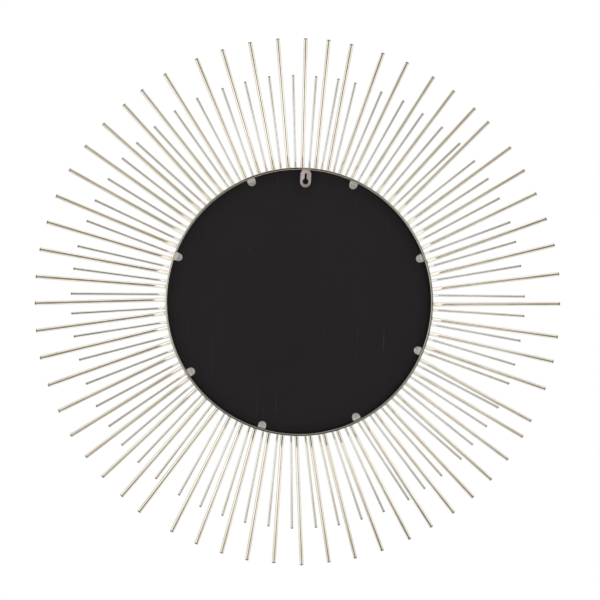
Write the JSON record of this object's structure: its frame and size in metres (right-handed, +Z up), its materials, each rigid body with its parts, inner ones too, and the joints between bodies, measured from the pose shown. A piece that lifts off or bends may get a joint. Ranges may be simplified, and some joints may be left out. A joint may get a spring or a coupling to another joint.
{
  "type": "wall mirror",
  "caption": "Round wall mirror in a metal ring with long and short rods radiating from it, a black backing board held by bent tabs and a keyhole hanger at the top.",
  "frame": {"origin": "on the flat back face of the keyhole hanger, on the wall plane, just above the top of its slot, where the screw carries the weight", "axes": "+Y points out of the back into the wall, the glass faces -Y, +Z is up as it hangs, +X is to the right for someone who looks into the glass"},
  "size_m": [0.7971, 0.0165, 0.7988],
  "materials": {
    "gilt_steel": "steel with a bright champagne-gold finish",
    "silvered_glass": "flat silvered glass",
    "black_board": "matt black painted hardboard",
    "zinc_plate": "zinc-plated sheet steel",
    "tinplate": "bright sheet steel"
  },
  "bodies": {
    "root": {"sunburst_frame": "gilt_steel", "mirror_glass": "silvered_glass", "backing_board": "black_board", "keyhole_hanger": "zinc_plate", "retaining_tab_1": "tinplate", "retaining_tab_2": "tinplate", "retaining_tab_3": "tinplate", "retaining_tab_4": "tinplate", "retaining_tab_5": "tinplate", "retaining_tab_6": "tinplate", "retaining_tab_7": "tinplate", "retaining_tab_8": "tinplate"}
  },
  "joints": []
}
